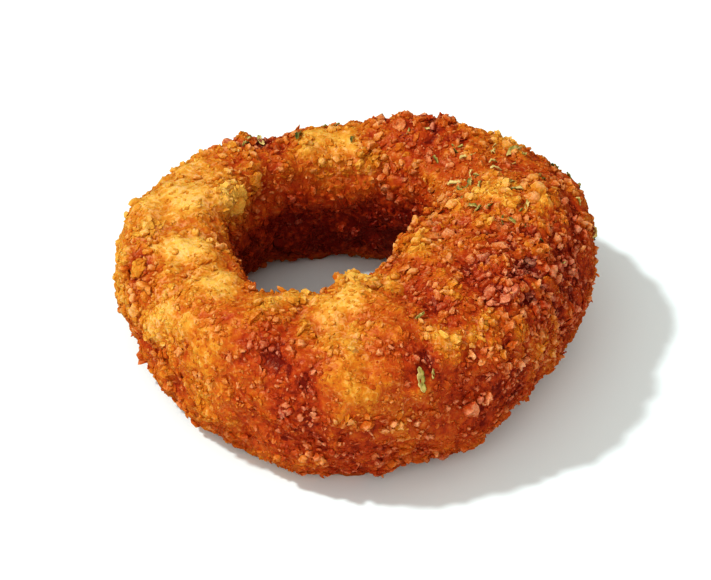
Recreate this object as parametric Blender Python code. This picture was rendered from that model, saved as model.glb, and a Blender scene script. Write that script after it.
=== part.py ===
"""A fried onion ring in a craggy crumb crust, as one closed solid with herb flakes fused to it.

Metres, +Z up. The ring lies flat on z = 0 with its hole upright, and its origin is the bottom centre.
Angles round the ring start at +X and turn towards +Y. Angles round its section start at the outer
side and turn over the top to the hole.
"""

import math
import random

import bmesh
import bpy
import numpy as np
from mathutils import Matrix, Vector, noise

# The plain ring. Radii and heights are read every 30 degrees round it, starting at +X.
RING_CENTRE = (-0.0016, 0.0080)
OUTER_RADII = (
    0.0420, 0.0385, 0.0325, 0.0295, 0.0300, 0.0325,
    0.0382, 0.0393, 0.0424, 0.0458, 0.0450, 0.0414,
)
HOLE_RADII = (
    0.0142, 0.0150, 0.0130, 0.0120, 0.0135, 0.0165,
    0.0185, 0.0200, 0.0220, 0.0177, 0.0126, 0.0106,
)
HEIGHTS = (0.028, 0.026, 0.024, 0.023, 0.023, 0.024, 0.025, 0.026, 0.027, 0.028, 0.029, 0.029)
# How square the section is: 2 is an ellipse. The underside is rounder, and rests on a flat strip.
SQUARENESS_ABOVE = 2.8
SQUARENESS_BELOW = 2.35
REST_SINK = 0.0009
REST_TOLERANCE = 0.00006

# The crust is shaped on a fine mesh and then thinned to this share of its triangles.
STARTING_RADIUS = 0.030
STEPS_ROUND_RING = 200
STEPS_ROUND_SECTION = 66
KEPT_TRIANGLES = 0.355

# Thicker crust: angle round the ring, angle round the section, radius and lift.
LUMPS = {
    "right shoulder": (318, 58, 0.0130, 0.0020),
    "shoulder crest": (352, 84, 0.0090, 0.0018),
    "left rim blob": (169, 122, 0.0040, 0.0036),
    "front rim flake": (271, 124, 0.0036, 0.0022),
    "pale ridge": (278, 98, 0.0055, 0.0012),
    "hole rim crumbs": (308, 124, 0.0060, 0.0014),
    "back rise": (62, 80, 0.0080, 0.0012),
    "left wall swelling": (196, 30, 0.0080, 0.0010),
    "front wall swelling": (268, 8, 0.0100, 0.0010),
}
# Thinner crust, in the same terms.
DENTS = {
    "left front dent": (232, 40, 0.0075, 0.0009),
    "front notch": (285, 335, 0.0045, 0.0014),
    "hole wall pit": (179, 140, 0.0042, 0.0018),
    "back dent": (118, 70, 0.0070, 0.0010),
}
# How steeply lumps, dents and patches fall off towards their radius.
PATCH_FALLOFF = 1.4
# Uneven crust all over: wavelength and depth.
RELIEF = ((0.0140, 0.0010), (0.0070, 0.0010), (0.0042, 0.0007))

# Crumbs: rounded bumps with creases between them, as wide and as high as this in the coarse patches.
CRUMB_SIZE = 0.0032
CRUMB_HEIGHT = 0.0019
# The lowest crumb's height and a crumb's reach, as shares of the highest one and of its size.
LOWEST_CRUMB_SHARE = 0.35
CRUMB_REACH = 0.75
SMOOTH_SHARE = 0.40
# Coarse crust: angle round the ring, angle round the section, and radius.
COARSE_PATCHES = {
    "right shoulder": (318, 55, 0.017),
    "shoulder crest": (350, 84, 0.013),
    "right hole rim": (326, 120, 0.009),
    "front hole rim": (272, 122, 0.005),
    "left rim blob": (168, 120, 0.005),
    "left edge": (200, 55, 0.010),
    "far right": (60, 60, 0.014),
    "far left": (130, 75, 0.010),
}

# Herb flakes: length, width, thickness, wave, and how far their middle stands out of the crust.
HERB_SEED = 7
HERB_LENGTHS = (0.0026, 0.0044)
HERB_WIDTH_SHARE = 0.42
HERB_THICKNESS = 0.00045
HERB_WAVE = 0.00035
HERB_LIFT = 0.00015
# The flakes' rows, how much their ends narrow, the turn of their wave along and across, and their lean.
HERB_ROWS = 4
HERB_NARROWING = 0.75
HERB_WAVE_TURNS = (2.2, 0.8)
HERB_LEAN = 0.25
FRONT_FLECK = (286, 35, 90)
# Where the rest lie: lowest and highest angle round the ring and round the section, and their count.
HERB_BANDS = {
    "shoulder crest": (-14, 34, 68, 128, 8),
    "right flank": (-10, 30, 25, 60, 3),
    "far side": (55, 148, 40, 95, 4),
}

CRUST_COLOUR = (0.62, 0.23, 0.035, 1.0)
CRUST_ROUGHNESS = 0.55
MERGE_DISTANCE = 0.00001
# Edges that bend by more degrees than this are shaded sharp.
SHARP_ANGLE = 50


def clear_scene():
    for obj in list(bpy.data.objects):
        bpy.data.objects.remove(obj, do_unlink=True)


def around(values, angle):
    """A smooth closed curve through equally spaced values, read at an angle round the ring."""
    values = np.asarray(values)
    place = np.asarray(angle) / math.tau * len(values)
    index = np.floor(place).astype(int)
    part = place - index
    before, start, end, after = (values[(index + step) % len(values)] for step in (-1, 0, 1, 2))
    slope = (end - before) * part
    bend = (2 * before - 5 * start + 4 * end - after) * part**2
    turn = (3 * start - before - 3 * end + after) * part**3
    return start + 0.5 * (slope + bend + turn)


def ring_points(angle, section_angle, proud=0.0):
    """Points of the plain ring, or points that stand proud of it along its section."""
    outer = around(OUTER_RADII, angle)
    hole = around(HOLE_RADII, angle)
    half_width = (outer - hole) / 2
    half_height = (around(HEIGHTS, angle) + REST_SINK) / 2
    squareness = np.where(np.sin(section_angle) < 0, SQUARENESS_BELOW, SQUARENESS_ABOVE)
    across = np.abs(np.cos(section_angle) / half_width) ** squareness
    up = np.abs(np.sin(section_angle) / half_height) ** squareness
    reach = (across + up) ** (-1 / squareness) + proud
    radius = (outer + hole) / 2 + reach * np.cos(section_angle)
    x = RING_CENTRE[0] + radius * np.cos(angle)
    y = RING_CENTRE[1] + radius * np.sin(angle)
    z = half_height - REST_SINK + reach * np.sin(section_angle)
    return np.stack([x, y, z], axis=-1)


def patch_weight(points, angle, section_angle, radius):
    """1 at a place of the ring, falling off smoothly over the radius."""
    middle = ring_points(math.radians(angle), math.radians(section_angle))
    distance = np.linalg.norm(points - middle, axis=-1)
    return np.exp(-((distance / radius) ** 2) * PATCH_FALLOFF)


def coarseness(points):
    """1 in the coarse patches of the crust, and the share of the smooth rest elsewhere."""
    patches = [patch_weight(points, *patch) for patch in COARSE_PATCHES.values()]
    return np.maximum(SMOOTH_SHARE, np.max(patches, axis=0))


def crumb_bumps(points):
    """Rounded bumps a unit wide, each with its own height up to 1."""
    bumps = []
    for point in points:
        distances, centres = noise.voronoi(Vector(point))
        height = LOWEST_CRUMB_SHARE + (1 - LOWEST_CRUMB_SHARE) * noise.cell(centres[0])
        bumps.append(height * max(0.0, 1 - (distances[0] / CRUMB_REACH) ** 2))
    return np.array(bumps)


def crust_lift(points):
    """How far the uneven crust stands out of the plain ring at each point."""
    lift = np.zeros(len(points))
    for angle, section_angle, radius, height in LUMPS.values():
        lift += height * patch_weight(points, angle, section_angle, radius)
    for angle, section_angle, radius, depth in DENTS.values():
        lift -= depth * patch_weight(points, angle, section_angle, radius)
    for wavelength, depth in RELIEF:
        lift += depth * np.array([noise.noise(Vector(point)) for point in points / wavelength])
    return lift + CRUMB_HEIGHT * coarseness(points) * crumb_bumps(points / CRUMB_SIZE)


def crust_points(angle, section_angle):
    """Points of the uneven crust, flat where it rests."""
    plain = ring_points(angle, section_angle)
    points = ring_points(angle, section_angle, crust_lift(plain))
    points[:, 2] = np.maximum(points[:, 2], 0.0)
    return points


def out_of_ring(angle, section_angle):
    """The direction that points out of the ring's section."""
    flat = math.cos(section_angle)
    return Vector((flat * math.cos(angle), flat * math.sin(angle), math.sin(section_angle)))


def make_ring_body():
    bpy.ops.mesh.primitive_torus_add(
        major_segments=STEPS_ROUND_RING,
        minor_segments=STEPS_ROUND_SECTION,
        major_radius=STARTING_RADIUS,
        minor_radius=STARTING_RADIUS / 2,
        generate_uvs=False,
    )
    ring = bpy.context.object
    ring.name = "onion_ring"
    ring.data.name = "onion_ring"
    points = np.empty(len(ring.data.vertices) * 3, np.float32)
    ring.data.vertices.foreach_get("co", points)
    x, y, z = points.reshape(-1, 3).astype(float).T
    angle = np.mod(np.arctan2(y, x), math.tau)
    section_angle = np.arctan2(z, np.hypot(x, y) - STARTING_RADIUS)
    ring.data.vertices.foreach_set("co", crust_points(angle, section_angle).ravel())
    thin_out(ring)
    return ring


def thin_out(ring):
    """Keeps triangles where the crust bends, and few on its flat rest."""
    thinning = ring.modifiers.new("thin out", "DECIMATE")
    thinning.ratio = KEPT_TRIANGLES
    apply_modifiers(ring)
    for vertex in ring.data.vertices:
        if vertex.co.z < REST_TOLERANCE:
            vertex.co.z = 0.0


def apply_modifiers(obj):
    graph = bpy.context.evaluated_depsgraph_get()
    mesh = bpy.data.meshes.new_from_object(obj.evaluated_get(graph))
    obj.modifiers.clear()
    obj.data = mesh


def new_object(name, bm, collection):
    mesh = bpy.data.meshes.new(name)
    bm.to_mesh(mesh)
    bm.free()
    obj = bpy.data.objects.new(name, mesh)
    collection.objects.link(obj)
    return obj


def herb_places():
    """The upright fleck in front, then flakes strewn in the bands."""
    draw = random.Random(HERB_SEED)
    angle, section_angle, heading = FRONT_FLECK
    places = [(math.radians(angle), math.radians(section_angle), math.radians(heading), HERB_LENGTHS[1])]
    for angle_low, angle_high, section_low, section_high, count in HERB_BANDS.values():
        for step in range(count):
            share = (step + draw.random()) / count
            angle = math.radians(angle_low + (angle_high - angle_low) * share)
            section_angle = math.radians(draw.uniform(section_low, section_high))
            places.append((angle, section_angle, draw.uniform(0, math.pi), draw.uniform(*HERB_LENGTHS)))
    return places


def make_herb_flake(name, place, draw, collection):
    """A thin wavy flake with pointed ends, laid on the crust."""
    angle, section_angle, heading, length = place
    bm = bmesh.new()
    bmesh.ops.create_grid(bm, x_segments=HERB_ROWS, y_segments=1, size=0.5)
    phase = draw.uniform(0, math.tau)
    for vertex in bm.verts:
        along, aside = vertex.co.x * 2, vertex.co.y * 2
        narrowing = 1 - HERB_NARROWING * along**2
        vertex.co.x = along * length / 2
        vertex.co.y = aside * narrowing * length * HERB_WIDTH_SHARE / 2
        swing = HERB_WAVE_TURNS[0] * along + HERB_WAVE_TURNS[1] * aside
        vertex.co.z = HERB_WAVE * math.sin(swing + phase)
    bmesh.ops.triangulate(bm, faces=bm.faces)
    bmesh.ops.solidify(bm, geom=bm.faces, thickness=HERB_THICKNESS)
    bmesh.ops.recalc_face_normals(bm, faces=bm.faces)
    upright = out_of_ring(angle, section_angle).to_track_quat("Z", "Y").to_matrix()
    turn = Matrix.Rotation(heading, 3, "Z")
    lean = Matrix.Rotation(draw.uniform(-HERB_LEAN, HERB_LEAN), 3, "Y")
    bm.transform((upright @ turn @ lean).to_4x4())
    point = crust_points(np.array([angle]), np.array([section_angle]))[0]
    bm.transform(Matrix.Translation(Vector(point) + out_of_ring(angle, section_angle) * HERB_LIFT))
    return new_object(name, bm, collection)


def fuse(body, pieces):
    """One union of the body with all pieces of a collection, which then go with it."""
    union = body.modifiers.new("fuse", "BOOLEAN")
    union.operation = "UNION"
    union.operand_type = "COLLECTION"
    union.collection = pieces
    union.solver = "EXACT"
    apply_modifiers(body)
    for obj in list(pieces.objects):
        bpy.data.objects.remove(obj, do_unlink=True)
    bpy.data.collections.remove(pieces)


def tidy_mesh(mesh):
    """Merges the hair-thin slivers that fusing leaves."""
    bm = bmesh.new()
    bm.from_mesh(mesh)
    bmesh.ops.dissolve_degenerate(bm, edges=bm.edges, dist=MERGE_DISTANCE)
    bm.to_mesh(mesh)
    bm.free()


def crust_material():
    material = bpy.data.materials.new("fried_crumb_crust")
    material.use_nodes = True
    shader = material.node_tree.nodes["Principled BSDF"]
    shader.inputs["Base Color"].default_value = CRUST_COLOUR
    shader.inputs["Roughness"].default_value = CRUST_ROUGHNESS
    shader.inputs["Metallic"].default_value = 0.0
    return material


def new_collection(name):
    collection = bpy.data.collections.new(name)
    bpy.context.scene.collection.children.link(collection)
    return collection


def move_to(obj, collection):
    for other in list(obj.users_collection):
        other.objects.unlink(obj)
    collection.objects.link(obj)


def main():
    clear_scene()
    part = new_collection("onion_ring")
    flakes = new_collection("herb_flakes")
    ring = make_ring_body()
    move_to(ring, part)
    draw = random.Random(HERB_SEED + 1)
    for number, place in enumerate(herb_places()):
        make_herb_flake(f"herb_{number}", place, draw, flakes)
    fuse(ring, flakes)
    tidy_mesh(ring.data)
    ring.data.materials.clear()
    ring.data.materials.append(crust_material())
    ring.data.shade_smooth()
    ring.data.set_sharp_from_angle(angle=math.radians(SHARP_ANGLE))


main()
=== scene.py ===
"""The looks of one fried onion ring in a crumb crust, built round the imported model.

Metres, +Z up, in the model's own frame. Angles round the ring start at +X and turn towards +Y. Angles
round its section start at the outer side and turn over the top to the hole.
"""

import itertools
import math
import random

import bpy
import numpy as np
from mathutils import Matrix, Vector, noise

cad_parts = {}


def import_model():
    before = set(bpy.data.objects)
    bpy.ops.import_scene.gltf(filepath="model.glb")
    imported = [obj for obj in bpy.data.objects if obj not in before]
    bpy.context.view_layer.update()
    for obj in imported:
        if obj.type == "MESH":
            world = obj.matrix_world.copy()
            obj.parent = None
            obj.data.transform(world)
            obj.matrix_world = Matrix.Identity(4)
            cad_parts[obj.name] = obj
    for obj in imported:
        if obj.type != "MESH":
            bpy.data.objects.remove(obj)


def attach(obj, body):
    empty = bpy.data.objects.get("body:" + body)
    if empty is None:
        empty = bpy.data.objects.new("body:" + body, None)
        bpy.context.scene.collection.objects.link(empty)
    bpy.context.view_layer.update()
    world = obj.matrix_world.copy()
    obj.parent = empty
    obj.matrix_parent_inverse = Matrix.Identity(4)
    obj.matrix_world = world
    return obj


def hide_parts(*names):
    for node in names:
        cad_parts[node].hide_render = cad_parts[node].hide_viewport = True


# The plain ring, as in the model. Radii and heights are read every 30 degrees round it, from +X.
RING_CENTRE = (-0.0016, 0.0080)
OUTER_RADII = (
    0.0420, 0.0385, 0.0325, 0.0295, 0.0300, 0.0325,
    0.0382, 0.0393, 0.0424, 0.0458, 0.0450, 0.0414,
)
HOLE_RADII = (
    0.0142, 0.0150, 0.0130, 0.0120, 0.0135, 0.0165,
    0.0185, 0.0200, 0.0220, 0.0177, 0.0126, 0.0106,
)
HEIGHTS = (0.028, 0.026, 0.024, 0.023, 0.023, 0.024, 0.025, 0.026, 0.027, 0.028, 0.029, 0.029)
# How square the section is: 2 is an ellipse. The underside is rounder, and sunk until a strip rests flat.
SQUARENESS_ABOVE = 2.8
SQUARENESS_BELOW = 2.35
REST_SINK = 0.0009

# Thicker crust: angle round the ring, angle round the section, radius and lift.
LUMPS = {
    "right shoulder": (318, 58, 0.0130, 0.0020),
    "shoulder crest": (352, 84, 0.0090, 0.0018),
    "left rim blob": (169, 122, 0.0040, 0.0036),
    "front rim flake": (271, 124, 0.0036, 0.0022),
    "pale ridge": (278, 98, 0.0055, 0.0012),
    "hole rim crumbs": (308, 124, 0.0060, 0.0014),
    "back rise": (62, 80, 0.0080, 0.0012),
    "left wall swelling": (196, 30, 0.0080, 0.0010),
    "front wall swelling": (268, 8, 0.0100, 0.0010),
}
# Thinner crust, in the same terms.
DENTS = {
    "left front dent": (232, 40, 0.0075, 0.0009),
    "front notch": (285, 335, 0.0045, 0.0014),
    "hole wall pit": (179, 140, 0.0042, 0.0018),
    "back dent": (118, 70, 0.0070, 0.0010),
}
# How steeply lumps, dents and patches fall off towards their radius.
PATCH_FALLOFF = 1.4
# Uneven crust all over: wavelength and depth.
RELIEF = ((0.0140, 0.0010), (0.0070, 0.0010), (0.0042, 0.0007))
# Rounded bumps in the coarse patches: width and height. The lowest one's height is given as a share of the
# highest one's, and a bump's reach as a share of its width.
CRUMB_SIZE = 0.0032
CRUMB_HEIGHT = 0.0019
LOWEST_CRUMB_SHARE = 0.35
CRUMB_REACH = 0.75
# How much of the bumps the smooth rest of the crust has.
SMOOTH_SHARE = 0.40
# Coarse crust: angle round the ring, angle round the section, and radius.
COARSE_PATCHES = {
    "right shoulder": (318, 55, 0.017),
    "shoulder crest": (350, 84, 0.013),
    "right hole rim": (326, 120, 0.009),
    "front hole rim": (272, 122, 0.005),
    "left rim blob": (168, 120, 0.005),
    "left edge": (200, 55, 0.010),
    "far right": (60, 60, 0.014),
    "far left": (130, 75, 0.010),
}

# The crust's own mesh. Its steps round the section are even along the outline in front, and sparser on the
# underside, where the sine of the angle round the section is below the limit.
STEPS_ROUND_RING = 480
STEPS_ROUND_SECTION = 204
FRONT_ANGLE = 1.5 * math.pi
OUTLINE_SAMPLES = 2881
UNDERSIDE_SINE = -0.75
UNDERSIDE_DENSITY = 0.55
# Fine grain in the crust: wavelength and depth, its noise's shift, and the share of it in smooth batter.
GRAIN = ((0.0030, 0.00040), (0.0016, 0.00030))
GRAIN_SHIFT = 3.0
SMOOTH_GRAIN_SHARE = 0.75
# Recesses are found at two scales: how often the relief is evened out, and the depth that counts as full.
RECESS_SCALES = ((6, 0.0003), (60, 0.0008))
# How much of the painted shade in recesses and painted light on heights shows where the crust isn't coarse.
SMOOTH_PIT_SHARE = 0.45
# How much of the coarse bumps the crust has under its crumbs, the share of that which bare batter lacks,
# and how far the crust sinks under its crumbs.
BUMPS_UNDER_CRUMBS = 0.75
BUMPS_LOST_ON_BATTER = 0.5
SINK_UNDER_CRUMBS = 0.00035
SINK_UNDER_COARSE_CRUMBS = 0.00035

# Bare batter, with few crumbs: angle round the ring, angle round the section, and radius.
BATTER_PATCHES = {
    "left top": (172, 86, 0.0125),
    "left hole rim": (206, 86, 0.0085),
    "left hole rim, front": (224, 96, 0.0060),
    "left front": (236, 44, 0.0090),
    "front middle": (270, 46, 0.0090),
    "pale ridge": (269, 102, 0.0048),
    "crest": (350, 100, 0.0045),
    "far side": (95, 82, 0.0090),
    "far right": (38, 45, 0.0070),
    "far left wall": (140, 25, 0.0090),
}
# Golden crust, bare or crumbed, in the same terms. The left edge patches are partly painted light.
GOLDEN_PATCHES = {
    "left top": (168, 82, 0.0165),
    "left top, inside": (181, 104, 0.0080),
    "left top, front": (188, 82, 0.0080),
    "left rim": (170, 118, 0.0065),
    "left hole rim": (206, 88, 0.0100),
    "left hole rim, front": (224, 94, 0.0085),
    # Partly painted light, paler where light grazes the ring's left edge.
    "left edge": (184, 38, 0.0100),
    "left edge, low": (193, 22, 0.0070),
    "left edge, front": (219, 50, 0.0085),
    "front rim, left": (246, 96, 0.0065),
    "front rim": (259, 104, 0.0060),
    "ridge, far end": (274, 116, 0.0055),
    "ridge, middle": (268, 104, 0.0062),
    "ridge, near end": (264, 88, 0.0065),
    "right of the ridge": (285, 112, 0.0036),
    "under the ridge": (270, 74, 0.0045),
    "pale crumb in the hole": (177, 146, 0.0018),
    "right rim": (309, 118, 0.0042),
    "crest": (354, 104, 0.0046),
    "crest, right": (350, 78, 0.0032),
    "shoulder arc, left": (294, 52, 0.0042),
    "shoulder arc": (303, 48, 0.0042),
    "shoulder arc, right": (312, 32, 0.0038),
    "far side": (95, 88, 0.0110),
    "far right": (38, 55, 0.0080),
}
# Orange crust, in the same terms.
ORANGE_PATCHES = {
    "left front": (234, 40, 0.0150),
    "left low": (236, 350, 0.0080),
    "front middle": (269, 44, 0.0130),
    "front rim": (251, 86, 0.0080),
    "crest": (335, 74, 0.0100),
    "shoulder rim": (308, 98, 0.0090),
    "far left wall": (140, 20, 0.0130),
    "far wall": (60, 10, 0.0100),
}
# Red-brown crust, where the crumbs took most colour and, in some patches, painted shade, in the same terms.
BROWN_PATCHES = {
    "right shoulder": (318, 56, 0.0110),
    # Partly painted shade, darker on the right flank and low on the right.
    "right flank": (336, 16, 0.0130),
    "low right": (304, 356, 0.0140),
    "lower front": (270, 340, 0.0110),
    "front left, high": (251, 64, 0.0052),
    "front left dent": (254, 54, 0.0062),
    "front left, middle": (258, 36, 0.0068),
    "front left, low": (261, 14, 0.0072),
    "right of the fleck": (290, 44, 0.0055),
    # Partly painted shade on the hole's wall.
    "left hole wall": (184, 146, 0.0036),
    "far right": (62, 50, 0.0130),
    "far left": (126, 66, 0.0090),
    "far wall": (100, 5, 0.0140),
}
# How the patches' outlines wander: the seed of the noise, and each wavelength and reach.
WANDER_SEED = 3
PATCH_WANDER = ((0.0100, 0.0024), (0.0036, 0.0016))
# How bare the batter is: what brown patches take from it, the weights between which it shows, and mottling,
# as wavelength, strength and shift.
BATTER_LOST_TO_BROWN = 0.45
BATTER_WEIGHTS = (0.18, 0.95)
BATTER_MOTTLING = ((0.0075, 0.20, 4.0), (0.0034, 0.18, 9.0))
# How brown the crust is: plain crust, what patches add and take, the painted shade that darkens the hole's
# wall, and mottling.
PLAIN_BROWN = 0.50
BROWN_PATCH_GAIN = 0.34
HOLE_WALL_SHADE = 0.45
GOLDEN_PATCH_LOSS = 0.47
ORANGE_PATCH_LOSS = 0.10
BROWN_MOTTLING = ((0.0110, 0.12, 2.0), (0.0045, 0.14, 6.0))
# The painted shade on the hole's wall begins and is full at these shares of the section's half width,
# inwards from its middle. It fades out upwards between these heights.
HOLE_WALL_SHARES = (0.62, 0.98)
HOLE_WALL_HEIGHTS = (0.0120, 0.0225)
# How much painted shade dims the highlights painted on the tips of crumbs on the hole's wall and low on
# the ring, and the heights between which the second fades out.
HOLE_WALL_TIP_SHADE = 0.7
LOW_TIP_SHADE = 0.35
LOW_HEIGHTS = (0.006, 0.018)

# Shapes of crumb: width and height as shares of the length, and how far a crumb leans.
CRUMB_SHAPE = ((0.50, 0.88), (0.42, 0.78), 0.9)
SLIVER_SHAPE = ((0.24, 0.42), (0.20, 0.36), 1.5)
# How far a crumb's middle lies out of the crust, lowest and highest, as shares of its half length.
CRUMB_LIFTS = (-0.45, 0.25)
SMALL_CRUMB_LIFTS = (-0.70, 0.05)
# Kinds of crumb, by the name of their piece: how many, how often a 20-sided one is divided, shortest and
# longest length, spacing, seed, shape, lifts, the share of them that bare batter lacks, and how much paler
# and how much more tan the highlights painted on their tips make them.
CRUMB_KINDS = {
    "dust_crumbs": {
        "count": 8800,
        "divisions": 1,
        "lengths": (0.00045, 0.00090),
        "spacing": 0.00050,
        "seed": 5,
        "shape": CRUMB_SHAPE,
        "lifts": SMALL_CRUMB_LIFTS,
        "lost_on_batter": 0.30,
        "highlight_paleness": 0.24,
        "highlight_tan": 0.28,
    },
    "fine_crumbs": {
        "count": 9600,
        "divisions": 1,
        "lengths": (0.00070, 0.00135),
        "spacing": 0.00070,
        "seed": 11,
        "shape": CRUMB_SHAPE,
        "lifts": SMALL_CRUMB_LIFTS,
        "lost_on_batter": 0.65,
        "highlight_paleness": 0.29,
        "highlight_tan": 0.56,
    },
    "coarse_crumbs": {
        "count": 2450,
        "divisions": 2,
        "lengths": (0.0011, 0.0021),
        "spacing": 0.0012,
        "seed": 23,
        "shape": CRUMB_SHAPE,
        "lifts": CRUMB_LIFTS,
        "lost_on_batter": 0.90,
        "highlight_paleness": 0.31,
        "highlight_tan": 0.60,
    },
    "crags": {
        "count": 420,
        "divisions": 2,
        "lengths": (0.0018, 0.0030),
        "spacing": 0.0022,
        "seed": 37,
        "shape": CRUMB_SHAPE,
        "lifts": CRUMB_LIFTS,
        "lost_on_batter": 0.95,
        "highlight_paleness": 0.30,
        "highlight_tan": 0.62,
    },
    "slivers": {
        "count": 1500,
        "divisions": 1,
        "lengths": (0.0012, 0.0024),
        "spacing": 0.0010,
        "seed": 67,
        "shape": SLIVER_SHAPE,
        "lifts": CRUMB_LIFTS,
        "lost_on_batter": 0.85,
        "highlight_paleness": 0.28,
        "highlight_tan": 0.72,
    },
    "crumb_clumps": {
        "divisions": 2,
        "lengths": (0.0011, 0.0021),
        "seed": 41,
        "shape": CRUMB_SHAPE,
        "lifts": CRUMB_LIFTS,
        "highlight_paleness": 0.32,
        "highlight_tan": 0.60,
    },
}
# Places tried for each crumb, how strongly short crumbs prevail, and how uneven a crumb's surface is.
TRIES_PER_CRUMB = 6
SHORT_CRUMB_BIAS = 1.6
CRUMB_ROUGHNESS = 0.38
# Edges of round crumbs that bend by more radians than this are sharp.
CRUMB_EDGE_ANGLE = 0.75
# The highlight painted on a crumb is full, and the crumb at its palest, from this share of its half length
# above the crust.
FULL_HIGHLIGHT_SHARE = 1.1
# Crumbs are browner in recesses as painted shade, and browner in clusters by mottling.
RECESS_SHADE = 0.34
CLUSTER_MOTTLING = ((0.0032, 0.16, 12.0),)
# How far a crumb reaches across its cell of the map.
CRUMB_MAP_REACH = 0.42
# Crumbs begin at the first of these heights and lie in full from the second.
CRUMB_HEIGHTS = (0.0004, 0.0022)
# Coarse crumbs and crags crowd together: the least crowding, the wavelength and shift of its noise, and the
# levels of that noise between which it grows.
LEAST_CROWDING = 0.25
CROWDING_NOISE = (0.0042, 7.0)
CROWDING_LEVELS = (-0.25, 0.35)
# How many coarse crumbs, crags and slivers lie outside their patches, and how full crumbly patches are.
COARSE_ELSEWHERE = 0.12
CRAGS_ELSEWHERE = 0.03
SLIVERS_ELSEWHERE = 0.20
CRUMBLY_SHARE = 0.65

# Where coarse crumbs lie close on an even crust: angle round the ring, angle round the section, and radius.
CRUMBLY_PATCHES = {
    "low front": (268, 352, 0.0140),
    "low right": (300, 355, 0.0130),
    "low left": (226, 348, 0.0110),
    "left edge": (198, 34, 0.0110),
    "front rim": (256, 104, 0.0060),
    "front dent": (251, 66, 0.0060),
    "far wall": (80, 10, 0.0160),
    "far left wall": (150, 10, 0.0130),
}

# Where slivers of crumb stand out raggedly: angle round the ring, angle round the section, and radius.
RAGGED_PATCHES = {
    "front rim": (271, 122, 0.0050),
    "front rim, left": (250, 104, 0.0040),
    "right rim": (305, 124, 0.0070),
    "right rim, far": (343, 130, 0.0060),
    "crest": (352, 100, 0.0080),
    "shoulder": (318, 54, 0.0120),
    "left rim": (168, 120, 0.0040),
    "far rim": (80, 100, 0.0080),
}

# Crumbs piled up on the rim of the hole and elsewhere: angles round ring and section, radius, count.
CRUMB_CLUMPS = {
    "front rim flake": (271, 126, 0.0025, 20),
    "front rim, left": (254, 106, 0.0012, 6),
    "right rim, front": (292, 126, 0.0013, 7),
    "right rim": (306, 130, 0.0019, 12),
    "right rim, inside": (312, 142, 0.0016, 8),
    "right rim, back": (326, 132, 0.0016, 9),
    "right rim, far": (342, 132, 0.0020, 12),
    "crest rim": (355, 128, 0.0015, 8),
    "left rim blob": (170, 116, 0.0026, 18),
    "left rim, front": (235, 112, 0.0010, 4),
    "hole wall": (177, 146, 0.0011, 6),
    "shoulder": (330, 62, 0.0018, 9),
    "shoulder, front": (305, 50, 0.0016, 8),
    "low shoulder": (306, 22, 0.0016, 8),
    "left edge": (198, 40, 0.0015, 7),
    "left flank": (222, 12, 0.0013, 6),
    "far rim": (80, 112, 0.0015, 7),
    "far top": (58, 72, 0.0018, 9),
    "far flank": (112, 20, 0.0016, 7),
}
CLUMP_SEED = 51
# How far crumbs at the edge of a clump point away from its middle.
CLUMP_FLARE = 0.6

# Herb flakes, where the model has them, but thinner and narrower: length, width, thickness, wave and lift.
HERB_SEED = 7
HERB_LENGTHS = (0.0026, 0.0044)
HERB_WIDTH_SHARE = 0.32
HERB_THICKNESS = 0.00016
HERB_WAVE = 0.00035
HERB_LIFT = 0.00030
# The upright fleck in front: angle round the ring, angle round the section, and heading.
FRONT_FLECK = (286, 35, 90)
# Crumbs keep clear of the upright fleck: the reach, and from and to this share of its weight there.
FLECK_CLEARANCE = 0.0032
FLECK_SHARES = (0.30, 0.60)
# Where the rest lie: lowest and highest angle round the ring and round the section, and their count.
HERB_BANDS = {
    "shoulder crest": (-14, 34, 68, 128, 8),
    "right flank": (-10, 30, 25, 60, 3),
    "far side": (55, 148, 40, 95, 4),
}
# Small specks of herb, in the same terms, and their lengths.
HERB_SPECK_BANDS = {
    "shoulder crest": (-20, 42, 62, 132, 30),
    "right flank": (-30, 40, 10, 60, 7),
    "front": (262, 300, 20, 100, 2),
    "far side": (50, 150, 40, 100, 12),
}
HERB_SPECK_LENGTHS = (0.0009, 0.0025)
# A flake's points along and across it, how blunt its ends are, and how far out its torn sides reach.
FLAKE_STEPS = 15
FLAKE_ROWS = 7
FLAKE_ENDS = (2.4, 0.6)
FLAKE_SIDES = (0.45, 1.0)
FLAKE_LEAST_REACH = 0.05
# A flake's bend, its wiggle and how often that turns, and its fold along the middle.
FLAKE_BEND = (-0.5, 0.5)
FLAKE_BEND_MIDDLE = 0.4
FLAKE_WIGGLE = (-0.1, 0.1)
FLAKE_WIGGLE_TURN = 5
FLAKE_FOLD = (0.3, 0.9)
# A flake's broad wave along it, and its ripple: the turn along and across it, and the ripple's share.
WAVE_TURN = 2.2
RIPPLE_TURNS = (7, 4)
RIPPLE_SHARE = 0.35
# A flake is seated on the crust found over its length divided by this.
FLAKE_SEAT_PARTS = 3
# How many samples of the crust's direction the ring's own direction counts for.
RING_DIRECTION_SAMPLES = 4
# The steps from the middle of a cube of 27 places to each of them.
CUBE_STEPS = tuple(itertools.product((-1, 0, 1), repeat=3))

# Colours of fried crust, from golden to dark: how brown it is, and its colour there.
FRIED_COLOURS = (
    (0.00, (0.74, 0.440, 0.085)),
    (0.16, (0.65, 0.312, 0.040)),
    (0.36, (0.555, 0.184, 0.012)),
    (0.56, (0.460, 0.091, 0.008)),
    (0.78, (0.365, 0.038, 0.005)),
    (1.00, (0.15, 0.007, 0.003)),
)
# Tan: partly highlights painted on crumb tips, ridges and grains, and partly patches of the crust's own
# colour.
TAN_COLOUR = (0.88, 0.49, 0.32, 1.0)
HIGHLIGHT_TINT = (1.0, 0.68, 0.42, 1.0)
# Colours of dried herb, from shaded green to straw: how light it is, and its colour there.
HERB_COLOURS = (
    (0.12, (0.028, 0.032, 0.006)),
    (0.38, (0.100, 0.110, 0.014)),
    (0.60, (0.30, 0.26, 0.050)),
    (0.85, (0.66, 0.52, 0.19)),
)
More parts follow.
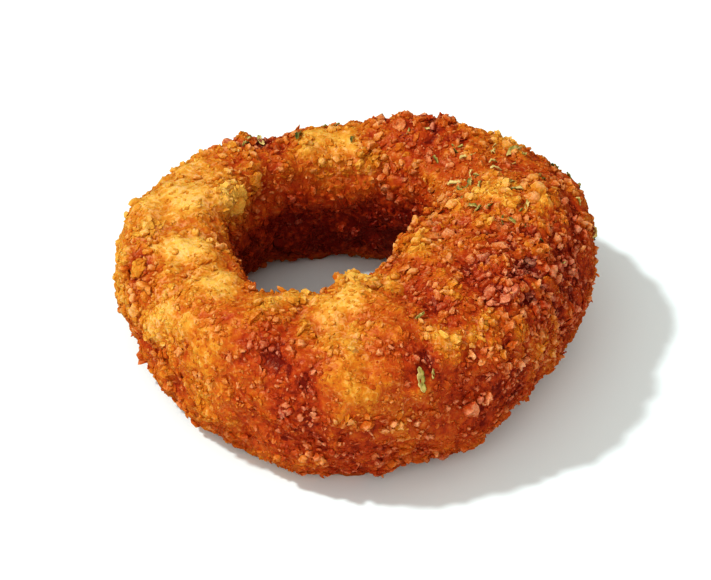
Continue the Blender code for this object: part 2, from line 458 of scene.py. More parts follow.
# Oily sheen, light that sinks in a little, and fine bumps.
FRIED_SURFACE = {
    "Specular IOR Level": 0.34,
    "Specular Tint": HIGHLIGHT_TINT,
    "Subsurface Weight": 0.24,
    "Subsurface Radius": (1.0, 0.30, 0.08),
    "Subsurface Scale": 0.0010,
}
FRIED_BUMPS = {"Strength": 0.8, "Distance": 0.00028}
HERB_ROUGHNESS = 0.55
HERB_BUMPS = {"Strength": 0.4, "Distance": 0.0001}
# How detailed and how rough the noise in the materials is.
NOISE_DETAIL = 2.0
NOISE_ROUGHNESS = 0.6
# Drawn grains: the scale of the noise that stirs them, how far it does, and how wide their creases are.
GRAIN_STIR = 0.7
GRAIN_WOBBLE = 0.9
GRAIN_CREASE = 1.2
RIDGE_SHARPNESS = 9.0
# The looks of the crust and of its crumbs: the numbers stored in the mesh, and the sizes of drawn patterns.
# Each mix has a start and the weight of each number and pattern that is added to it.
# Painted light and shade in the crust: pit darkens recesses and lightens heights, and grains and ridges are
# painted paler and more tan on top and browner in their creases.
CRUST_LOOKS = {
    "numbers": ("brown", "bare", "coarse", "pit"),
    "patterns": {
        "coarse_grain": 0.0012,
        "fine_grain": 0.0006,
        "winding": 0.0017,
        "patches": 0.0026,
        "specks": 0.0003,
        "sheen": 0.0012,
    },
    "height": (0.0, {"coarse_grain": 0.35, "fine_grain": 0.25, "winding": 0.30, "specks": 0.10}),
    "brown": (
        0.28,
        {
            "brown": 0.82,
            "bare": -0.18,
            "coarse": 0.14,
            "patches": 0.22,
            "pit": 0.36,
            "coarse_grain": -0.24,
            "fine_grain": -0.12,
            "winding": -0.12,
        },
    ),
    "tan": (-0.70, {"winding": 0.6, "coarse_grain": 0.5, "patches": 0.7, "brown": -0.7}),
    "rough": (0.26, {"sheen": 0.30}),
    "tan_share": 0.6,
}
# Painted light and shade on crumbs: they are paler and more tan towards their tips, and fine grains are
# painted paler on top and browner in their creases.
CRUMB_LOOKS = {
    "numbers": ("brown", "tone", "tip_highlight"),
    "patterns": {"fine_grain": 0.0005, "patches": 0.0010, "specks": 0.0003, "sheen": 0.0009},
    "height": (0.0, {"fine_grain": 0.6, "specks": 0.4}),
    "brown": (0.06, {"brown": 0.80, "tone": 0.18, "patches": 0.22, "fine_grain": -0.10}),
    "tan": (-0.52, {"tip_highlight": 1.0, "tone": -0.30, "brown": 0.36, "fine_grain": 0.45}),
    "rough": (0.24, {"sheen": 0.30}),
}
# How light the herb is, as such a mix, and the size and detail of its mottling.
HERB_LIGHTNESS = (0.08, {"tone": 0.55, "mottling": 0.55, "aside": 0.24})
HERB_MOTTLING = (0.0009, 3.0)
HERB_SPECK_SIZE = 0.0003

# Camera and light: angles in degrees, lengths in metres.
CAMERA_ELEVATION = 41
CAMERA_DISTANCE = 0.70
CAMERA_LOOKS_AT = (0.000, 0.0008, 0.0120)
FRAME_WIDTH = 0.120
SENSOR_MILLIMETRES = 36.0
CLIP_DISTANCES = (0.01, 20.0)
KEY_AZIMUTH = -92
KEY_ELEVATION = 56
KEY_STRENGTH = 1.91
KEY_COLOUR = (1.0, 1.0, 0.95)
KEY_SOFTNESS = 5.0
FILL_STRENGTH = 1.18
FILL_COLOUR = (1.0, 0.94, 0.87)
FILL_AZIMUTH = -12
FILL_ELEVATION = 24
FILL_SOFTNESS = 70
SKY_STRENGTH = 0.62
SKY_COLOUR = (1.0, 0.90, 0.81, 1.0)
FLOOR_SIZE = 6.0
FLOOR_COLOUR = (0.80, 0.94, 1.0, 1.0)
FLOOR_ROUGHNESS = 0.7


def around(values, angle):
    """A smooth closed curve through equally spaced values, read at an angle round the ring."""
    values = np.asarray(values)
    place = np.asarray(angle) / math.tau * len(values)
    index = np.floor(place).astype(int)
    part = place - index
    before, start, end, after = (values[(index + step) % len(values)] for step in (-1, 0, 1, 2))
    slope = (end - before) * part
    bend = (2 * before - 5 * start + 4 * end - after) * part**2
    turn = (3 * start - before - 3 * end + after) * part**3
    return start + 0.5 * (slope + bend + turn)


def ring_points(angle, section_angle, proud=0.0):
    """Points of the plain ring, or points that stand proud of it along its section."""
    outer = around(OUTER_RADII, angle)
    hole = around(HOLE_RADII, angle)
    half_width = (outer - hole) / 2
    half_height = (around(HEIGHTS, angle) + REST_SINK) / 2
    squareness = np.where(np.sin(section_angle) < 0, SQUARENESS_BELOW, SQUARENESS_ABOVE)
    across = np.abs(np.cos(section_angle) / half_width) ** squareness
    up = np.abs(np.sin(section_angle) / half_height) ** squareness
    reach = (across + up) ** (-1 / squareness) + proud
    radius = (outer + hole) / 2 + reach * np.cos(section_angle)
    x = RING_CENTRE[0] + radius * np.cos(angle)
    y = RING_CENTRE[1] + radius * np.sin(angle)
    z = half_height - REST_SINK + reach * np.sin(section_angle)
    return np.stack([x, y, z], axis=-1)


def patch_weight(points, angle, section_angle, radius):
    """1 at a place of the ring, falling off smoothly over the radius."""
    middle = ring_points(math.radians(angle), math.radians(section_angle))
    distance = np.linalg.norm(points - middle, axis=-1)
    return np.exp(-((distance / radius) ** 2) * PATCH_FALLOFF)


def strongest(points, patches):
    """The weight of the strongest of the named patches at each point."""
    return np.max([patch_weight(points, *patch) for patch in patches.values()], axis=0)


def wandered(points):
    """The points moved about a little, so that patches read there get ragged outlines."""
    moved = points.copy()
    for wavelength, reach in PATCH_WANDER:
        moved += reach * np.array([noise.noise_vector(Vector(point)) for point in points / wavelength])
    return moved


def noise_at(points, wavelength, shift=0.0):
    """Smooth noise from about -1 to 1 at each point."""
    return np.array([noise.noise(Vector(point)) for point in points / wavelength + shift])


def mottled(points, noises):
    """Smooth noises added up, each with its wavelength, strength and shift."""
    return sum(strength * noise_at(points, wavelength, shift) for wavelength, strength, shift in noises)


def smooth_step(values, low, high):
    """0 up to the low value and 1 from the high one on, with a smooth rise between."""
    share = np.clip((values - low) / (high - low), 0, 1)
    return share * share * (3 - 2 * share)


def crumb_bumps(points):
    """Rounded bumps a unit wide, each with its own height up to 1."""
    bumps = []
    for point in points:
        distances, centres = noise.voronoi(Vector(point))
        height = LOWEST_CRUMB_SHARE + (1 - LOWEST_CRUMB_SHARE) * noise.cell(centres[0])
        bumps.append(height * max(0.0, 1 - (distances[0] / CRUMB_REACH) ** 2))
    return np.array(bumps)


def broad_lift(points):
    """How far lumps, dents and waves of the crust stand out of the plain ring."""
    lift = np.zeros(len(points))
    for angle, section_angle, radius, height in LUMPS.values():
        lift += height * patch_weight(points, angle, section_angle, radius)
    for angle, section_angle, radius, depth in DENTS.values():
        lift -= depth * patch_weight(points, angle, section_angle, radius)
    for wavelength, depth in RELIEF:
        lift += depth * noise_at(points, wavelength)
    return lift


def bareness(points):
    """1 where smooth batter shows between few crumbs, and 0 under a full crumb crust."""
    moved = wandered(points)
    spread = strongest(moved, BATTER_PATCHES) - BATTER_LOST_TO_BROWN * strongest(moved, BROWN_PATCHES)
    return smooth_step(spread + mottled(points, BATTER_MOTTLING), *BATTER_WEIGHTS)


def shaded_hole_wall(points):
    """Where shade is painted on the hole's wall: 1 low on the wall, and 0 on the top and outside of the
    ring.
    """
    across, along = points[:, 0] - RING_CENTRE[0], points[:, 1] - RING_CENTRE[1]
    angle = np.arctan2(along, across)
    outer, hole = around(OUTER_RADII, angle), around(HOLE_RADII, angle)
    inward = ((outer + hole) / 2 - np.hypot(across, along)) / ((outer - hole) / 2)
    low = 1 - smooth_step(points[:, 2], *HOLE_WALL_HEIGHTS)
    return smooth_step(inward, *HOLE_WALL_SHARES) * low


def brownness_and_shade(points):
    """How brown the crust is, with painted shade on the hole's wall: 0 is golden and 1 is red-brown."""
    moved = wandered(points)
    brown = PLAIN_BROWN + BROWN_PATCH_GAIN * strongest(moved, BROWN_PATCHES)
    # Painted shade: the hole's wall is made browner.
    brown += HOLE_WALL_SHADE * shaded_hole_wall(points)
    golden = GOLDEN_PATCH_LOSS * strongest(moved, GOLDEN_PATCHES)
    orange = ORANGE_PATCH_LOSS * strongest(moved, ORANGE_PATCHES)
    brown -= np.maximum(golden, orange)
    return np.clip(brown + mottled(points, BROWN_MOTTLING), 0, 1)


def new_mesh_object(name, points, faces):
    """A smoothly shaded mesh in the scene."""
    mesh = bpy.data.meshes.new(name)
    mesh.from_pydata(points.tolist(), [], faces.tolist())
    mesh.shade_smooth()
    obj = bpy.data.objects.new(name, mesh)
    bpy.context.scene.collection.objects.link(obj)
    return obj


def store(obj, name, values):
    """Keeps one number for each vertex, which the material reads by name."""
    attribute = obj.data.attributes.new(name, "FLOAT", "POINT")
    attribute.data.foreach_set("value", np.asarray(values, np.float32))


def store_map(obj, corners):
    """The map that the surface is drawn on when it is kept as an image."""
    layer = obj.data.uv_layers.new(name="OFBake")
    layer.uv.foreach_set("vector", np.asarray(corners, np.float32).ravel())


def even_section_angles(count):
    """Angles round the section, evenly spaced along its outline, and sparser underneath."""
    angles = np.linspace(0, math.tau, OUTLINE_SAMPLES)
    outline = ring_points(np.full_like(angles, FRONT_ANGLE), angles)
    steps = np.linalg.norm(np.diff(outline, axis=0), axis=1)
    steps *= np.where(np.sin(angles[:-1]) < UNDERSIDE_SINE, UNDERSIDE_DENSITY, 1.0)
    travelled = np.concatenate([[0.0], np.cumsum(steps)])
    return np.interp(np.linspace(0, travelled[-1], count, endpoint=False), travelled, angles)


def blurred(grid, rounds):
    """The grid averaged with its neighbours, again and again, round both ways."""
    for _ in range(rounds):
        for axis in (0, 1):
            grid = (np.roll(grid, 1, axis) + grid + np.roll(grid, -1, axis)) / 3
    return grid


def recess(lift):
    """1 in recesses for painted shade and -1 on heights for painted light, judged at a narrow and at a
    broad scale.
    """
    depths = [(blurred(lift, rounds) - lift) / depth for rounds, depth in RECESS_SCALES]
    return np.clip(np.mean(depths, axis=0), -1, 1)


def crust_lift(plain, bare, coarse):
    """How far the crust stands out of the plain ring, with bumps and grain, and sunk under its crumbs."""
    lift = broad_lift(plain)
    bumpiness = BUMPS_UNDER_CRUMBS * np.maximum(SMOOTH_SHARE, coarse) * (1 - BUMPS_LOST_ON_BATTER * bare)
    lift += CRUMB_HEIGHT * bumpiness * crumb_bumps(plain / CRUMB_SIZE)
    lift -= (SINK_UNDER_CRUMBS + SINK_UNDER_COARSE_CRUMBS * coarse) * (1 - bare)
    crumbed = 1 - (1 - SMOOTH_GRAIN_SHARE) * bare
    for wavelength, depth in GRAIN:
        lift += depth * crumbed * noise_at(plain, wavelength, GRAIN_SHIFT)
    return lift


def grid_faces(shape):
    """The quads of a grid of points that closes on itself both ways."""
    index = np.arange(math.prod(shape)).reshape(shape)
    ahead, beside = np.roll(index, -1, 0), np.roll(index, -1, 1)
    both = np.roll(ahead, -1, 1)
    return np.stack([index, ahead, both, beside], axis=-1).reshape(-1, 4)


def grid_map(ring_count, section_count):
    """A map of the grid's quads, laid out as the grid is."""
    across, along = np.meshgrid(np.arange(ring_count), np.arange(section_count), indexing="ij")
    corners = [(across, along), (across + 1, along), (across + 1, along + 1), (across, along + 1)]
    places = [np.stack([u / ring_count, v / section_count], axis=-1) for u, v in corners]
    return np.stack(places, axis=2).reshape(-1, 2)


def make_crust():
    """The ring's crust as one closed grid, and how deep each of its points lies in a recess."""
    shape = (STEPS_ROUND_RING, STEPS_ROUND_SECTION)
    ring_steps = np.linspace(0, math.tau, STEPS_ROUND_RING, endpoint=False)
    section_steps = even_section_angles(STEPS_ROUND_SECTION)
    angle, section_angle = (grid.ravel() for grid in np.meshgrid(ring_steps, section_steps, indexing="ij"))
    plain = ring_points(angle, section_angle)
    bare = bareness(plain)
    coarse = strongest(plain, COARSE_PATCHES)
    lift = crust_lift(plain, bare, coarse)
    points = ring_points(angle, section_angle, lift)
    points[:, 2] = np.maximum(points[:, 2], 0.0)
    crust = new_mesh_object("crust", points, grid_faces(shape))
    # Painted shade in the crust's recesses and painted light on its heights, stronger where the crust is
    # coarse.
    pit = recess(lift.reshape(shape)).ravel() * (SMOOTH_PIT_SHARE + (1 - SMOOTH_PIT_SHARE) * coarse)
    store(crust, "brown", brownness_and_shade(plain))
    store(crust, "bare", bare)
    store(crust, "coarse", coarse * (1 - bare))
    store(crust, "pit", pit)
    store_map(crust, grid_map(*shape))
    return crust, pit


def surface_samples(obj):
    """Middle, outward direction and area of each face of a mesh."""
    count = len(obj.data.polygons)
    middles = np.empty(count * 3, np.float32)
    normals = np.empty(count * 3, np.float32)
    areas = np.empty(count, np.float32)
    obj.data.polygons.foreach_get("center", middles)
    obj.data.polygons.foreach_get("normal", normals)
    obj.data.polygons.foreach_get("area", areas)
    return middles.reshape(-1, 3).astype(float), normals.reshape(-1, 3).astype(float), areas.astype(float)


def spread_places(middles, weights, kind):
    """Indices of up to the kind's count of faces, drawn by weight and kept its spacing apart."""
    draw = np.random.default_rng(kind["seed"])
    count, spacing = kind["count"], kind["spacing"]
    size = min(count * TRIES_PER_CRUMB, len(middles))
    tries = draw.choice(len(middles), size=size, replace=False, p=weights / weights.sum())
    cells, kept = {}, []
    for face in tries:
        point = middles[face]
        x, y, z = np.floor(point / spacing).astype(int).tolist()
        near = (other for i, j, k in CUBE_STEPS for other in cells.get((x + i, y + j, z + k), ()))
        if any(np.abs(point - middles[other]).sum() < spacing for other in near):
            continue
        cells.setdefault((x, y, z), []).append(face)
        kept.append(face)
        if len(kept) == count:
            break
    return np.array(kept)


def crumb_template(divisions):
    """Vertices and faces of a round crumb two units across, before it is made irregular."""
    bpy.ops.mesh.primitive_ico_sphere_add(subdivisions=divisions, radius=1.0)
    obj = bpy.context.object
    points = np.array([vertex.co for vertex in obj.data.vertices])
    faces = np.array([face.vertices for face in obj.data.polygons])
    bpy.data.objects.remove(obj, do_unlink=True)
    return points, faces


def turning_matrices(normals, lean, draw):
    """For each crumb, a random turn about its normal, leaning a little, as a 3 by 3 matrix."""
    count = len(normals)
    leaning = normals + draw.normal(0, lean / 2, (count, 3))
    up = leaning / np.linalg.norm(leaning, axis=1, keepdims=True)
    aside = np.cross(up, draw.normal(0, 1, (count, 3)))
    aside /= np.linalg.norm(aside, axis=1, keepdims=True)
    return np.stack([aside, np.cross(up, aside), up], axis=2)


def crumb_points(template, spots, outward, kind, draw):
    """Vertices of irregular crumbs, half sunk in the crust at the spots, and the crumbs' half lengths."""
    count = len(spots)
    shortest, longest = kind["lengths"]
    half_lengths = (shortest + (longest - shortest) * draw.random(count) ** SHORT_CRUMB_BIAS) / 2
    widths, heights, lean = kind["shape"]
    width, height = draw.uniform(*widths, count), draw.uniform(*heights, count)
    stretch = np.stack([np.ones(count), width, height], axis=1)
    swelling = 1 + draw.uniform(-CRUMB_ROUGHNESS, CRUMB_ROUGHNESS, (count, len(template)))
    local = template[None] * swelling[..., None] * stretch[:, None] * half_lengths[:, None, None]
    turned = np.einsum("nij,nvj->nvi", turning_matrices(outward, lean, draw), local)
    lift = half_lengths * draw.uniform(*kind["lifts"], count)
    centres = spots + outward * lift[:, None]
    points = turned + centres[:, None]
    points[..., 2] = np.maximum(points[..., 2], 0.0)
    return points, half_lengths


def tip_light(spots):
    """Painted highlight on crumb tips: 1, but less in painted shade, on the hole's wall and low on the
    ring.
    """
    low = 1 - smooth_step(spots[:, 2], *LOW_HEIGHTS)
    return np.maximum(1 - HOLE_WALL_TIP_SHADE * shaded_hole_wall(spots) - LOW_TIP_SHADE * low, 0.0)


def make_crumbs(name, spots, outward, deep):
    """One mesh of the crumbs of a kind at the given spots, with the numbers that their material reads."""
    kind = CRUMB_KINDS[name]
    draw = np.random.default_rng(kind["seed"] + 1)
    template, faces = crumb_template(kind["divisions"])
    points, half_lengths = crumb_points(template, spots, outward, kind, draw)
    count, corners = len(spots), len(template)
    all_faces = (faces[None] + np.arange(count)[:, None, None] * corners).reshape(-1, 3)
    crumbs = new_mesh_object(name, points.reshape(-1, 3), all_faces)
    if kind["divisions"] == 1:
        crumbs.data.shade_flat()
    else:
        crumbs.data.set_sharp_from_angle(angle=CRUMB_EDGE_ANGLE)
    # Painted highlight: crumbs are paler and more tan towards their tips.
    height = np.einsum("nvj,nj->nv", points - spots[:, None], outward)
    tip_highlight = height / (FULL_HIGHLIGHT_SHARE * half_lengths[:, None]) * tip_light(spots)[:, None]
    # Painted shade: crumbs in the crust's recesses are made browner.
    brown = brownness_and_shade(spots) + RECESS_SHADE * deep + mottled(spots, CLUSTER_MOTTLING)
    store(crumbs, "tip_highlight", np.clip(tip_highlight, 0, 1).ravel())
    store(crumbs, "tone", np.repeat(draw.random(count), corners))
    store(crumbs, "brown", np.repeat(brown, corners))
    store_map(crumbs, crumb_map(template, faces, count))
    return crumbs


def crumb_map(template, faces, count):
    """Each crumb drawn from above in its own cell of a square map."""
    side = math.ceil(math.sqrt(count))
    cell = np.stack(np.divmod(np.arange(count), side), axis=1)
    corners = 0.5 + CRUMB_MAP_REACH * template[faces.ravel()][:, :2]
    return ((cell[:, None] + corners[None]) / side).reshape(-1, 2)


def out_of_ring(angle, section_angle):
    """The direction that points out of the ring's section."""
    flat = math.cos(section_angle)
    return Vector((flat * math.cos(angle), flat * math.sin(angle), math.sin(section_angle)))


def seat_on(crust, angle, section_angle, spread):
    """A place on the crust and the direction that points out of it, both averaged over a small spread."""
    out = out_of_ring(angle, section_angle)
    plain = Vector(ring_points(np.array([angle]), np.array([section_angle]))[0])
    found = [crust.closest_point_on_mesh(plain + Vector(step) * spread) for step in CUBE_STEPS]
    middle = sum((place for _, place, _, _ in found), Vector()) / len(found)
    normal = sum((direction for _, _, direction, _ in found), out * RING_DIRECTION_SAMPLES).normalized()
    return middle, normal


def clump_spots(crust):
    """Spots of crumbs heaped up in clumps, and the directions that point out of the clumps."""
    draw = random.Random(CLUMP_SEED)
    spots, outward = [], []
    for angle, section_angle, radius, count in CRUMB_CLUMPS.values():
        middle, out = seat_on(crust, math.radians(angle), math.radians(section_angle), radius)
        for _ in range(count):
            direction = Vector([draw.gauss(0, 1) for _ in range(3)]).normalized()
            step = direction * draw.random() ** 0.5
            step += out * (abs(step.dot(out)) - step.dot(out))
            spots.append(middle + step * radius)
            outward.append((out + step * CLUMP_FLARE).normalized())
    return np.array(spots), np.array(outward)


def crumb_weights(middles, areas):
    """How likely each kind of strewn crumb is to lie on each face."""
    bare = bareness(middles)
    coarse = strongest(middles, COARSE_PATCHES)
    crumbly = np.maximum(coarse, CRUMBLY_SHARE * strongest(middles, CRUMBLY_PATCHES))
    ragged = strongest(middles, RAGGED_PATCHES)
    near_fleck = patch_weight(middles, *FRONT_FLECK[:2], FLECK_CLEARANCE)
    clear = 1 - smooth_step(near_fleck, *FLECK_SHARES)
    everywhere = areas * (smooth_step(middles[:, 2], *CRUMB_HEIGHTS) * clear)
    crowding = LEAST_CROWDING + smooth_step(noise_at(middles, *CROWDING_NOISE), *CROWDING_LEVELS)
    weights = {
        "dust_crumbs": everywhere,
        "fine_crumbs": everywhere,
        "coarse_crumbs": everywhere * crowding * (COARSE_ELSEWHERE + crumbly),
        "crags": everywhere * crowding * (CRAGS_ELSEWHERE + coarse**2),
        "slivers": everywhere * (SLIVERS_ELSEWHERE + ragged),
    }
    for name, weight in weights.items():
        weights[name] = weight * (1.0 - CRUMB_KINDS[name]["lost_on_batter"] * bare)
    return weights


def make_all_crumbs(crust, pit):
    """One mesh for each kind of crumb: those strewn over the crust, and then those heaped up in clumps."""
    middles, normals, areas = surface_samples(crust)
    made = []
    for name, weights in crumb_weights(middles, areas).items():
        places = spread_places(middles, weights, CRUMB_KINDS[name])
        made.append(make_crumbs(name, middles[places], normals[places], pit[places]))
    spots, outward = clump_spots(crust)
    made.append(make_crumbs("crumb_clumps", spots, outward, np.zeros(len(spots))))
    return made


def herb_places():
    """The upright fleck in front, then flakes strewn in the bands."""
    draw = random.Random(HERB_SEED)
    angle, section_angle, heading = FRONT_FLECK
    places = [(math.radians(angle), math.radians(section_angle), math.radians(heading), HERB_LENGTHS[1])]
    for angle_low, angle_high, section_low, section_high, count in HERB_BANDS.values():
        for step in range(count):
            share = (step + draw.random()) / count
            angle = math.radians(angle_low + (angle_high - angle_low) * share)
            section_angle = math.radians(draw.uniform(section_low, section_high))
            places.append((angle, section_angle, draw.uniform(0, math.pi), draw.uniform(*HERB_LENGTHS)))
    return places


def speck_places(draw):
    """Small bits of herb strewn near the flakes and thinly elsewhere."""
    places = []
    for angle_low, angle_high, section_low, section_high, count in HERB_SPECK_BANDS.values():
        for _ in range(count):
            angle = math.radians(draw.uniform(angle_low, angle_high))
            section_angle = math.radians(draw.uniform(section_low, section_high))
            heading, length = draw.uniform(0, math.tau), draw.uniform(*HERB_SPECK_LENGTHS)
            places.append((angle, section_angle, heading, length))
    return places


def flake_outline(length, draw):
    """Points along and across a torn, bent leaf piece before it is laid, and how far aside each one is."""
    along = np.linspace(-1, 1, FLAKE_STEPS)
    ends = (1 - np.abs(along) ** FLAKE_ENDS[0]) ** FLAKE_ENDS[1]
    torn = [np.array([draw.uniform(*FLAKE_SIDES) for _ in along]) for _ in (0, 1)]
    left, right = (ends * side + FLAKE_LEAST_REACH for side in torn)
    bend = draw.uniform(*FLAKE_BEND) * (along**2 - FLAKE_BEND_MIDDLE)
    bend += draw.uniform(*FLAKE_WIGGLE) * np.sin(FLAKE_WIGGLE_TURN * along)
    aside = np.linspace(-1, 1, FLAKE_ROWS)
    reach = np.where(aside < 0, left[:, None], right[:, None]) * aside
    width = length * HERB_WIDTH_SHARE / 2
    fold = draw.uniform(*FLAKE_FOLD) * np.abs(reach) * width
    phase = draw.uniform(0, math.tau)
    wave = np.sin(WAVE_TURN * along + phase)[:, None]
    ripple = np.sin(RIPPLE_TURNS[0] * along[:, None] - RIPPLE_TURNS[1] * reach + phase)
    x = np.repeat(along[:, None] * length / 2, FLAKE_ROWS, axis=1)
    y = (reach + bend[:, None]) * width
    z = HERB_WAVE * (wave + RIPPLE_SHARE * ripple) + fold
    return np.stack([x, y, z], axis=-1).reshape(-1, 3), reach.ravel()


def flake_faces():
    """The faces of a flake: the quads of its top, of its bottom, and of the rim between them."""
    count = FLAKE_STEPS * FLAKE_ROWS
    index = np.arange(count).reshape(FLAKE_STEPS, FLAKE_ROWS)
    corners = [index[:-1, :-1], index[1:, :-1], index[1:, 1:], index[:-1, 1:]]
    quads = np.stack(corners, axis=-1).reshape(-1, 4)
    edge = np.concatenate([index[:, 0], index[-1, 1:], index[-2::-1, -1], index[0, -2:0:-1]])
    rim = np.stack([edge, edge + count, np.roll(edge, -1) + count, np.roll(edge, -1)], axis=-1)
    return np.concatenate([quads, quads[:, ::-1] + count, rim])


def herb_flake(crust, place, draw):
    """Points of one thin, wavy, torn flake that lies on the crust, and how far aside each one is."""
    angle, section_angle, heading, length = place
    local, aside = flake_outline(length, draw)
    middle, out = seat_on(crust, angle, section_angle, length / FLAKE_SEAT_PARTS)
    upright = np.array(out.to_track_quat("Z", "Y").to_matrix())
    turn = np.array(Matrix.Rotation(heading, 3, "Z"))
    top = local @ (upright @ turn).T + np.array(middle + out * HERB_LIFT)
    bottom = top - np.array(out) * HERB_THICKNESS
    return np.concatenate([top, bottom]), np.tile(aside, 2)


def make_herbs(crust):
    """All flakes and specks of herb as one mesh."""
    draw = random.Random(HERB_SEED + 1)
    all_points, all_faces, tones, sides, start = [], [], [], [], 0
    for place in herb_places() + speck_places(draw):
        points, aside = herb_flake(crust, place, draw)
        all_points.append(points)
        all_faces.append(flake_faces() + start)
        tones.append(np.full(len(points), draw.random()))
        sides.append(aside)
        start += len(points)
    herbs = new_mesh_object("herb_flakes", np.concatenate(all_points), np.concatenate(all_faces))
    store(herbs, "tone", np.concatenate(tones))
    store(herbs, "aside", np.concatenate(sides))
    return herbs


def node(tree, kind, inputs=None, **settings):
    """A shader node with its settings, whose inputs are given as values or as sockets to link."""
    made = tree.nodes.new("ShaderNode" + kind)
    for name, value in settings.items():
        setattr(made, name, value)
    for name, value in (inputs or {}).items():
        if isinstance(value, bpy.types.NodeSocket):
            tree.links.new(value, made.inputs[name])
        else:
            made.inputs[name].default_value = value
    return made


def maths(tree, operation, first, second, clamp=False):
    """The result of an operation on two numbers."""
    return node(tree, "Math", {0: first, 1: second}, operation=operation, use_clamp=clamp).outputs[0]


def attribute(tree, name):
    """A number that is stored in the mesh."""
    return node(tree, "Attribute", attribute_name=name).outputs["Fac"]


def noise_colour(tree, wavelength, detail=NOISE_DETAIL):
    """Noise from 0 to 1 with a wavelength in metres."""
    place = node(tree, "TexCoord").outputs["Object"]
    inputs = {"Vector": place, "Scale": 1 / wavelength, "Detail": detail, "Roughness": NOISE_ROUGHNESS}
    return node(tree, "TexNoise", inputs).outputs["Fac"]


def grain(tree, size):
    """1 on top of each crumb-sized grain, and 0 in the creases between them."""
    place = node(tree, "TexCoord").outputs["Object"]
    inputs = {"Vector": place, "Scale": GRAIN_STIR / size, "Detail": 1.0}
    stir = node(tree, "TexNoise", inputs).outputs["Color"]
    shift = node(tree, "VectorMath", {0: stir, 1: (0.5, 0.5, 0.5)}, operation="SUBTRACT").outputs[0]
    moved = node(tree, "VectorMath", {0: shift, "Scale": GRAIN_WOBBLE * size}, operation="SCALE").outputs[0]
    place = node(tree, "VectorMath", {0: place, 1: moved}, operation="ADD").outputs[0]
    distance = node(tree, "TexVoronoi", {"Vector": place, "Scale": 1 / size}).outputs["Distance"]
    return maths(tree, "SUBTRACT", 1.0, maths(tree, "MULTIPLY", distance, GRAIN_CREASE), clamp=True)


def ridges(tree, wavelength):
    """1 along thin winding ridges, and 0 between them."""
    away = maths(tree, "ABSOLUTE", maths(tree, "SUBTRACT", noise_colour(tree, wavelength), 0.5), 0.0)
    return maths(tree, "SUBTRACT", 1.0, maths(tree, "MULTIPLY", away, RIDGE_SHARPNESS), clamp=True)


def ramp(tree, factor, stops):
    """The colour that a factor from 0 to 1 picks from the stops."""
    made = node(tree, "ValToRGB", {"Fac": factor})
    elements = made.color_ramp.elements
    while len(elements) < len(stops):
        elements.new(0.5)
    for element, (place, colour) in zip(elements, stops):
        element.position = place
        element.color = (*colour, 1.0)
    return made.outputs["Color"]


def sources(tree, numbers, patterns):
    """The stored numbers and the drawn patterns of a material, by name."""
    makers = {"coarse_grain": grain, "fine_grain": grain, "winding": ridges}
    found = {name: attribute(tree, name) for name in numbers}
    for name, size in patterns.items():
        found[name] = makers.get(name, noise_colour)(tree, size)
    return found


def weighted(tree, found, mix):
    """The mix's start plus each of its sources times its weight, kept between 0 and 1."""
    total, weights = mix
    for name, weight in weights.items():
        inputs = {0: found[name], 1: weight, 2: total}
        total = node(tree, "Math", inputs, operation="MULTIPLY_ADD").outputs[0]
    return maths(tree, "ADD", total, 0.0, clamp=True)


def add_bumps(tree, shader, height, bumps):
    """Fine bumps in the surface, from a height between 0 and 1."""
    normal = node(tree, "Bump", {"Height": height, **bumps}).outputs["Normal"]
    tree.links.new(normal, shader.inputs["Normal"])


def new_material(name):
    """A material with its nodes and its shader."""
    material = bpy.data.materials.new(name)
    material.use_nodes = True
    tree = material.node_tree
    return material, tree, tree.nodes["Principled BSDF"]


def fried_material(name, looks):
    """Fried crust: golden to brown and partly tan, painted with highlights and shade, with an uneven sheen
    and fine bumps.
    """
    material, tree, shader = new_material(name)
    found = sources(tree, looks["numbers"], looks["patterns"])
    fried = ramp(tree, weighted(tree, found, looks["brown"]), FRIED_COLOURS)
    share = maths(tree, "MULTIPLY", weighted(tree, found, looks["tan"]), looks["tan_share"])
    colour = node(tree, "MixRGB", {"Fac": share, "Color1": fried, "Color2": TAN_COLOUR}).outputs["Color"]
    tree.links.new(colour, shader.inputs["Base Color"])
    tree.links.new(weighted(tree, found, looks["rough"]), shader.inputs["Roughness"])
    for setting, value in FRIED_SURFACE.items():
        shader.inputs[setting].default_value = value
    add_bumps(tree, shader, weighted(tree, found, looks["height"]), FRIED_BUMPS)
    return material


def crumb_material(name, kind):
    """Fried crust for the crumbs of a kind, with highlights painted paler and more tan on their tips."""
    start, weights = CRUMB_LOOKS["brown"]
    brown = (start, {**weights, "tip_highlight": -kind["highlight_paleness"]})
    return fried_material(name, {**CRUMB_LOOKS, "brown": brown, "tan_share": kind["highlight_tan"]})


def herb_material():
    """Dried herb, dull green with straw-coloured sides and mottling."""
    material, tree, shader = new_material("dried_herb")
    found = {"mottling": noise_colour(tree, *HERB_MOTTLING), **sources(tree, ("tone", "aside"), {})}
    colour = ramp(tree, weighted(tree, found, HERB_LIGHTNESS), HERB_COLOURS)
    tree.links.new(colour, shader.inputs["Base Color"])
    shader.inputs["Roughness"].default_value = HERB_ROUGHNESS
    add_bumps(tree, shader, noise_colour(tree, HERB_SPECK_SIZE), HERB_BUMPS)
    return material


def dress(piece, material):
    """Gives a piece its material and its place in the model."""
    piece.data.materials.append(material)
    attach(piece, "root")
    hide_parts("onion_ring")


def make_floor():
    """The pale surface that the ring lies on."""
    bpy.ops.mesh.primitive_plane_add(size=FLOOR_SIZE)
    floor = bpy.context.object
    floor.name = "floor"
    material, _, shader = new_material("pale_floor")
    shader.inputs["Base Color"].default_value = FLOOR_COLOUR
    shader.inputs["Roughness"].default_value = FLOOR_ROUGHNESS
    floor.data.materials.append(material)
    floor.visible_glossy = False


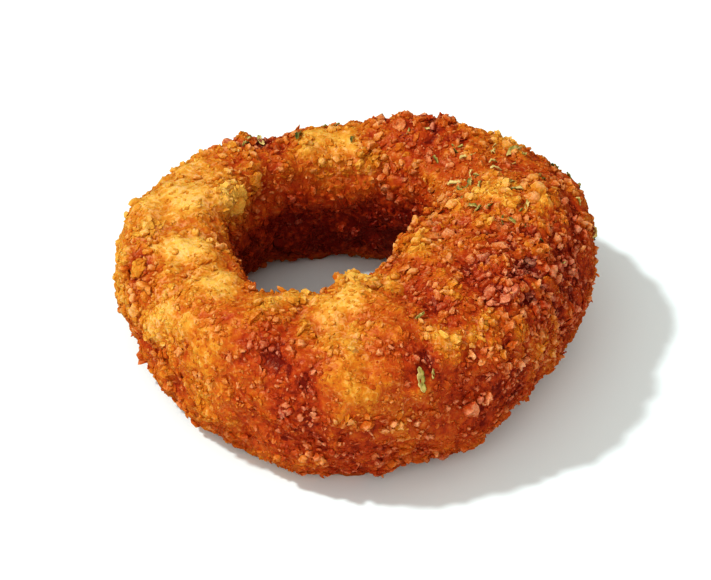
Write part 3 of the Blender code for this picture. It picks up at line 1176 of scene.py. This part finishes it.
def make_sun(name, strength, colour, softness, azimuth, elevation):
    """A sun that shines from an azimuth, turning from -Y towards +X, and an elevation, in degrees."""
    sun = bpy.data.lights.new(name, "SUN")
    sun.energy = strength
    sun.color = colour
    sun.angle = math.radians(softness)
    lamp = bpy.data.objects.new(name, sun)
    bpy.context.scene.collection.objects.link(lamp)
    azimuth, elevation = math.radians(azimuth), math.radians(elevation)
    flat = math.cos(elevation)
    comes_from = Vector((flat * math.sin(azimuth), -flat * math.cos(azimuth), math.sin(elevation)))
    lamp.rotation_euler = comes_from.to_track_quat("Z", "Y").to_euler()
    return lamp


def make_light():
    """A key light, a broad fill light and a warm sky. Only the key light shows in the sheen."""
    make_sun("key", KEY_STRENGTH, KEY_COLOUR, KEY_SOFTNESS, KEY_AZIMUTH, KEY_ELEVATION)
    fill = make_sun("fill", FILL_STRENGTH, FILL_COLOUR, FILL_SOFTNESS, FILL_AZIMUTH, FILL_ELEVATION)
    fill.visible_glossy = False
    world = bpy.data.worlds.new("studio")
    world.use_nodes = True
    sky = world.node_tree.nodes["Background"]
    sky.inputs["Color"].default_value = SKY_COLOUR
    sky.inputs["Strength"].default_value = SKY_STRENGTH
    world.cycles_visibility.glossy = False
    bpy.context.scene.world = world


def make_camera():
    """The camera in front of the ring, looking down at it from the photo's height."""
    data = bpy.data.cameras.new("camera")
    data.sensor_width = SENSOR_MILLIMETRES
    data.lens = data.sensor_width * CAMERA_DISTANCE / FRAME_WIDTH
    data.clip_start, data.clip_end = CLIP_DISTANCES
    camera = bpy.data.objects.new("camera", data)
    bpy.context.scene.collection.objects.link(camera)
    elevation = math.radians(CAMERA_ELEVATION)
    back = Vector((0, -math.cos(elevation), math.sin(elevation)))
    camera.location = Vector(CAMERA_LOOKS_AT) + back * CAMERA_DISTANCE
    camera.rotation_euler = back.to_track_quat("Z", "Y").to_euler()
    bpy.context.scene.camera = camera


def main():
    """Builds the looks in the model's frame, with the floor, the light and the camera."""
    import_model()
    noise.seed_set(WANDER_SEED)
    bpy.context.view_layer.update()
    crust, pit = make_crust()
    crumbs = make_all_crumbs(crust, pit)
    dress(crust, fried_material("fried_crust", CRUST_LOOKS))
    for piece in crumbs:
        dress(piece, crumb_material(piece.name + "_fried", CRUMB_KINDS[piece.name]))
    dress(make_herbs(crust), herb_material())
    make_floor()
    make_light()
    make_camera()
    bpy.context.scene.view_settings.view_transform = "Standard"
    bpy.context.scene.view_settings.look = "Medium High Contrast"


main()
